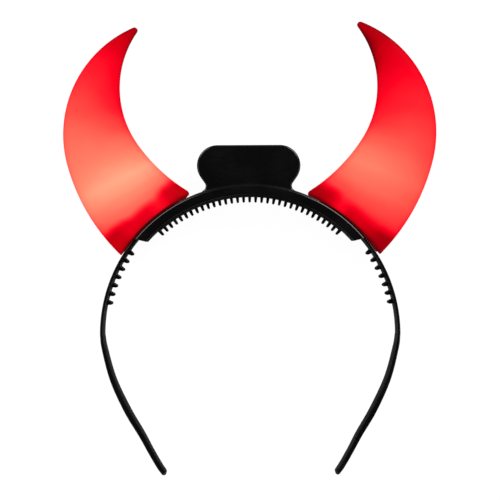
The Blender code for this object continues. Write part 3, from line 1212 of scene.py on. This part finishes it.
@dataclass(frozen=True)
class LampGlow:
    """How the lamps light a horn's wall from inside, and the shadow of their base on it.

    At each of the shares there is a heat, and a lean: how much hotter the outer edge is. At each of
    the shadow's angles there is the heat inside it, and how high it reaches, in millimetres.
    """

    shares: tuple[float, ...]
    heats: tuple[float, ...]
    leans: tuple[float, ...]
    shadow_heats: tuple[float, ...]
    shadow_reaches: tuple[float, ...]
    above: float
    foot_edge_loss: float
    foot_run: float = 0.2
    # edge_loss, rim_loss and foot_loss are painted shade in the glow: dimmer towards both edges, at the very
    # outline and at the foot
    edge_loss: float = 0.06
    rim_loss: float = 0.14
    rim_power: int = 20
    foot_loss: float = 0.08
    foot_fade: float = 0.8 * MM
    below: float = 2.7 * MM
    shadow_angles: tuple[float, ...] = (27.0, 31.0, 33.0, 35.0, 37.0, 39.5, 45.0, 49.0, 53.0, 57.0)

    def lit(self, share: float, across: float) -> float:
        """The heat where no shadow falls.

        Args:
            share: The place's share of the horn's length.
            across: From -1 at the outer edge to 1 at the inner edge.

        Returns:
            The heat from 0, dark, to 1, hottest.
        """
        heat, lean = between(list(zip(self.shares, self.heats, self.leans)), share)
        edge_loss = self.edge_loss + self.foot_edge_loss * max(1 - share / self.foot_run, 0.0)
        return heat - across * lean - edge_loss * across**2 - self.rim_loss * across**self.rim_power

    def heat(self, share: float, across: float, degrees: float, height: float) -> float:
        """The heat of one place of the wall.

        Args:
            share: Its share of the horn's length.
            across: From -1 at the outer edge to 1 at the inner edge.
            degrees: Its angle from the crown.
            height: Its height over the horn's base.

        Returns:
            The heat from 0, dark, to 1, hottest.
        """
        reaches = [reach * MM for reach in self.shadow_reaches]
        deep, reach = between(list(zip(self.shadow_angles, self.shadow_heats, reaches)), degrees)
        deep -= self.foot_loss * math.exp(-max(height, 0.0) / self.foot_fade)
        out = smooth_step(reach - self.below, reach + self.above, height)
        return mixed(deep, self.lit(share, across), out)


LEFT_BASE_R = 66.7 * MM
RIGHT_BASE_R = 65.6 * MM
LEFT_GLOW = LampGlow(
    shares=(0.0, 0.1, 0.16, 0.2, 0.25, 0.3, 0.4, 0.5, 0.6, 0.7, 0.8, 0.9, 1.0),
    heats=(0.52, 0.755, 0.88, 0.95, 1.0, 0.945, 0.825, 0.695, 0.575, 0.5, 0.42, 0.26, 0.16),
    leans=(-0.01, -0.01, -0.02, -0.02, -0.03, -0.02, 0.03, 0.1, 0.12, 0.09, 0.05, 0.01, 0.0),
    shadow_heats=(0.2, 0.26, 0.38, 0.43, 0.4, 0.31, 0.3, 0.29, 0.2, 0.2),
    shadow_reaches=(7.8, 7.2, 6.4, 5.1, 5.5, 5.5, 5.5, 7.8, 9.2, 10.2),
    above=2.6 * MM,
    foot_edge_loss=0.18,
)
RIGHT_GLOW = LampGlow(
    shares=(0.0, 0.06, 0.13, 0.2, 0.28, 0.34, 0.41, 0.5, 0.6, 0.7, 0.8, 0.9, 1.0),
    heats=(0.42, 0.5, 0.65, 0.765, 0.825, 0.785, 0.69, 0.57, 0.49, 0.405, 0.275, 0.17, 0.15),
    leans=(-0.02, -0.02, -0.03, -0.06, -0.08, -0.08, -0.05, 0.02, 0.05, 0.05, 0.08, 0.04, 0.0),
    shadow_heats=(0.16, 0.21, 0.3, 0.42, 0.37, 0.25, 0.25, 0.2, 0.15, 0.14),
    shadow_reaches=(6.0, 5.8, 5.4, 4.0, 4.2, 4.4, 4.6, 5.0, 7.0, 9.2),
    above=3.2 * MM,
    foot_edge_loss=0.04,
)


@dataclass(frozen=True)
class HornEdge:
    """One edge of a horn: an upper arc, and a flatter lower one that runs into it at join degrees."""

    centre: Vector
    radius: float
    lower_radius: float
    join: float

    def arcs(self, base_r: float, tip: Arc) -> tuple[Arc, Arc, Arc]:
        """Draws the edge.

        Args:
            base_r: The radius of the circle about the arch's centre on which it starts.
            tip: The half of the round tip that it ends in.

        Returns:
            Its lower arc, its upper arc and its half of the tip.
        """
        join = math.radians(self.join)
        low = self.centre - spoke(join) * (self.lower_radius - self.radius)
        foot = circles_meet(Vector((0.0, 0.0)), base_r, low, self.lower_radius)
        return (
            Arc(low, self.lower_radius, heading(foot - low), join),
            Arc(self.centre, self.radius, join, heading(tip.centre - self.centre)),
            tip,
        )


@dataclass(frozen=True)
class Horn(SubAssembly):
    """A hollow crescent horn between two edges."""

    side: Side
    glow: LampGlow
    base_r: float
    outer: HornEdge = HornEdge(Vector((30.2, 87.5)) * MM, 51.3 * MM, 87.0 * MM, -14.5)
    inner: HornEdge = HornEdge(Vector((13.2, 107.7)) * MM, 43.05 * MM, 74.3 * MM, -34.6)
    tip_r: float = 1.4 * MM
    thick: float = 15.0 * MM
    thick_fall: float = 0.8
    flatness: float = 2.4
    wall: float = 1.2 * MM
    corner: float = 1.9 * MM
    curved_foot: float = 0.28
    foot_middle: Vector = Vector((43.2, 50.6)) * MM
    turn: float = 0.74
    growth: float = 0.0075
    shift: Vector = Vector((0.37, 0.345)) * MM
    hollow: float = 0.88
    lip: float = 0.3 * MM
    rim_share: float = 0.0006
    rim_inset: float = 0.3
    rings: int = 120
    ring_power: float = 1.3
    inner_stride: int = 4
    tip_steps: int = 8
    points: int = 96
    slot: str = "horn_red"

    def edges(self) -> tuple[tuple[Arc, Arc, Arc], tuple[Arc, Arc, Arc]]:
        """Draws the horn's edges.

        Returns:
            The arcs of the outer and the inner edge, from the base to the middle of the round tip.
        """
        outer, inner = self.outer, self.inner
        tip = circles_meet(
            outer.centre, outer.radius - self.tip_r, inner.centre, inner.radius + self.tip_r
        )
        outer_touch = heading(tip - outer.centre)
        inner_touch = heading(inner.centre - tip) + 2 * math.pi
        peak = (outer_touch + inner_touch) / 2
        return (
            outer.arcs(self.base_r, Arc(tip, self.tip_r, outer_touch, peak)),
            inner.arcs(self.base_r, Arc(tip, self.tip_r, inner_touch, peak)),
        )

    @staticmethod
    def on_edge(arcs: tuple[Arc, Arc, Arc], share: float) -> Vector:
        """Finds a point of an edge.

        Args:
            arcs: The edge's arcs, with the round tip's last.
            share: 0 is the edge's base, 1 the start of the round tip, and 2 the tip's middle.

        Returns:
            The point in the drawing.
        """
        if share > 1:
            return arcs[2].at(share - 1)
        run = share * (arcs[0].length() + arcs[1].length())
        if run < arcs[0].length():
            return arcs[0].at(run / arcs[0].length())
        return arcs[1].at((run - arcs[0].length()) / arcs[1].length())

    def seated(self, flat: Vector) -> Vector:
        """Moves a point of the symmetric drawing to where this horn of the photo has it.

        Args:
            flat: The point, drawn for the right horn.

        Returns:
            The point after the horn's small turn, growth and shift, on the horn's own side.
        """
        sign = self.side.value
        turned = Matrix.Rotation(math.radians(self.turn * sign), 2) @ (flat - self.foot_middle)
        at = self.foot_middle + turned * (1 + self.growth * sign) + self.shift * sign
        return Vector((sign * at.x, at.y))

    def ring(self, share: float, inset: float) -> tuple[Ring, list[float]]:
        """A section of the horn.

        Args:
            share: Where it is along the horn.
            inset: How far it is drawn in.

        Returns:
            The section's points, and the glow of each.
        """
        outer_arcs, inner_arcs = self.edges()
        outer = self.on_edge(outer_arcs, share)
        inner = self.on_edge(inner_arcs, share)
        base_width = (self.on_edge(outer_arcs, 0) - self.on_edge(inner_arcs, 0)).length
        thick = self.thick * ((outer - inner).length / base_width) ** self.thick_fall
        height = inner.length - self.base_r
        if height < self.corner:
            lack = self.corner - math.sqrt(max(self.corner**2 - (self.corner - height) ** 2, 0.0))
            inner = inner + (outer - inner).normalized() * lack
        chord = inner - outer
        middle = (outer + inner) / 2
        curve = max(1 - share / self.curved_foot, 0.0) ** 2
        ring, glow = [], []
        for across, up in round_section(self.points, self.flatness):
            at = middle + chord.normalized() * (chord.length / 2 - inset) * across
            reach = mixed(outer.length, inner.length, (at - outer).length / chord.length)
            at = at.lerp(at * (reach / at.length), curve)
            degrees = 90.0 - math.degrees(heading(at))
            glow.append(self.glow.heat(share, across, degrees, at.length - self.base_r))
            ring.append(self.arch.place(self.seated(at), up * (thick / 2 - inset)))
        return ring, glow

    def build(self, glow: str) -> None:
        """Builds and settles the horn: an inner skin, a round rim and an outer skin with a solid tip.

        Args:
            glow: The name under which the mesh keeps its glow.
        """
        shares = [(i / self.rings) ** self.ring_power for i in range(self.rings + 1)]
        inside = [share for share in shares[:: -self.inner_stride] if share <= self.hollow]
        levels = [(share, self.wall) for share in [*inside, 0.0]]
        levels += [(0.0, self.wall - self.lip), (0.0, self.lip)]
        levels += [(self.rim_share, self.lip * self.rim_inset), *((share, 0.0) for share in shares[1:])]
        turns = [math.radians(90.0 * i / self.tip_steps) for i in range(1, self.tip_steps)]
        levels += [(2 - math.cos(turn), 0.0) for turn in turns]
        rings, values = [], []
        for share, inset in levels:
            ring, heat = self.ring(share, inset)
            rings.append(ring)
            values.extend(heat)
        draft = Draft()
        draft.loft(rings, glow, values)
        piece = draft.finish("horn_shell_" + self.side.word, self.finish)
        settle(piece, "horn_" + self.side.word)


@dataclass(frozen=True)
class SideLight:
    """A soft light: its direction from the object, in degrees from +X towards +Y, and its watts."""

    azimuth: float
    power: float


@dataclass(frozen=True)
class Studio:
    """A pale dish of a floor, soft lights round a dark zenith, and the photo's camera."""

    lights: tuple[SideLight, ...] = (
        SideLight(azimuth=48.0, power=22.0),
        SideLight(azimuth=132.0, power=14.0),
        SideLight(azimuth=180.0, power=5.0),
        SideLight(azimuth=230.0, power=4.0),
        SideLight(azimuth=290.0, power=4.0),
        SideLight(azimuth=350.0, power=5.0),
    )
    light_elevation: float = 28.0
    light_size: float = 0.8
    light_distance: float = 1.5
    dish_rings: tuple[float, ...] = (0.02, 0.3, 0.7)
    dish_points: int = 96
    dish_flat: float = 1.1
    dish_rise: float = 0.9
    dish_steps: int = 24
    sky_fade: tuple[float, float] = (0.1, 0.75)
    horizon: float = 0.8
    zenith: float = 0.015
    camera_height: float = 0.620
    focus_height: float = 13.5 * MM
    view_width: float = 216.52 * MM
    sensor: float = 36.0
    farthest: float = 20.0
    roll: float = 0.25
    aim: Vector = Vector((0.065, -0.346)) * MM

    def floor(self) -> None:
        """Builds the floor: a flat disc whose rim curves up to a wall all round."""
        draft = Draft()
        profile = [(radius, 0.0) for radius in (*self.dish_rings, self.dish_flat)]
        for i in range(1, self.dish_steps + 1):
            angle = math.radians(90.0 * i / self.dish_steps)
            out = self.dish_flat + self.dish_rise * math.sin(angle)
            profile.append((out, self.dish_rise * (1 - math.cos(angle))))
        profile.append((self.dish_flat + self.dish_rise, 2 * self.dish_rise))
        count = self.dish_points
        loops = []
        for radius, z in profile:
            ring = [Vector((*(spoke(2 * math.pi * i / count) * radius), z)) for i in range(count)]
            loops.append([draft.mesh.verts.new(point) for point in ring])
        draft.mesh.faces.new(loops[0])
        for low, high in zip(loops, loops[1:]):
            for i in range(count):
                j = (i + 1) % count
                draft.mesh.faces.new((low[i], low[j], high[j], high[i]))
        draft.finish("studio_floor", PalePaper().material())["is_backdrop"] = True

    def shine(self, light: SideLight) -> None:
        """Adds a soft square light that faces the object.

        Args:
            light: Where it stands and how strong it is.
        """
        name = f"side_light_{light.azimuth:.0f}"
        data = bpy.data.lights.new(name, "AREA")
        data.shape = "SQUARE"
        data.size = self.light_size
        data.energy = light.power
        lamp = bpy.data.objects.new(name, data)
        elevation = math.radians(self.light_elevation)
        flat = spoke(math.radians(light.azimuth)) * math.cos(elevation)
        out = Vector((flat.x, flat.y, math.sin(elevation)))
        lamp.location = out * self.light_distance
        lamp.rotation_euler = out.to_track_quat("Z", "Y").to_euler()
        bpy.context.scene.collection.objects.link(lamp)

    def world(self) -> None:
        """Sets a world that is pale at the horizon and dark overhead."""
        world = bpy.data.worlds.new("studio")
        world.use_nodes = True
        tree = ShaderTree(world.node_tree)
        background = world.node_tree.nodes["Background"]
        split = tree.add("SeparateXYZ")
        tree.join(tree.add("TexCoord").outputs["Generated"], split.inputs[0])
        level = tree.ranged(split.outputs["Z"], self.sky_fade, (self.horizon, self.zenith))
        tree.join(level, background.inputs["Strength"])
        background.inputs["Color"].default_value = opaque(WHITE)
        bpy.context.scene.world = world

    def camera(self, middle: Vector) -> None:
        """Sets the camera straight above the object, rolled a little as in the photo.

        Args:
            middle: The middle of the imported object.
        """
        data = bpy.data.cameras.new("photo_camera")
        data.sensor_width = self.sensor
        data.lens = self.sensor * self.camera_height / self.view_width
        data.clip_end = self.farthest
        camera = bpy.data.objects.new("photo_camera", data)
        camera.location = (
            middle.x + self.aim.x,
            middle.y + self.aim.y,
            self.focus_height + self.camera_height,
        )
        camera.rotation_euler = (0.0, 0.0, math.radians(-self.roll))
        bpy.context.scene.collection.objects.link(camera)
        bpy.context.scene.camera = camera

    def build(self, middle: Vector) -> None:
        """Builds the floor, the lights, the world and the camera.

        Args:
            middle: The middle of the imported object.
        """
        self.floor()
        for light in self.lights:
            self.shine(light)
        self.world()
        self.camera(middle)
        bpy.context.scene.view_settings.view_transform = "Standard"


def main() -> None:
    """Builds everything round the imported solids, in order."""
    logging.basicConfig(level=logging.INFO, format="%(message)s")
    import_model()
    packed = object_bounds()
    kit = ShaderKit()
    arch = Arch.from_frame(CrownHousing.lip_r)
    Headband(arch, MouldedBlack("band_plastic").material(kit)).build()
    CrownHousing(arch, MouldedBlack("housing_plastic", roughness=0.2, wear=0.35).material(kit)).build()
    CombStrip(arch, MouldedBlack("comb_plastic", roughness=0.3).material(kit)).build()
    lit = LitRed()
    lit_red = lit.material(kit)
    dark = LampDark().material(kit)
    for side, glow, base_r in ((Side.LEFT, LEFT_GLOW, LEFT_BASE_R), (Side.RIGHT, RIGHT_GLOW, RIGHT_BASE_R)):
        Horn(arch, lit_red, side, glow, base_r).build(lit.glow)
        base = bpy.data.objects["lamp_base_" + side.word]
        for slot in base.material_slots:
            slot.material = dark
    Studio().build((Vector(packed[0]) + Vector(packed[1])) / 2)


if __name__ == "__main__":
    main()
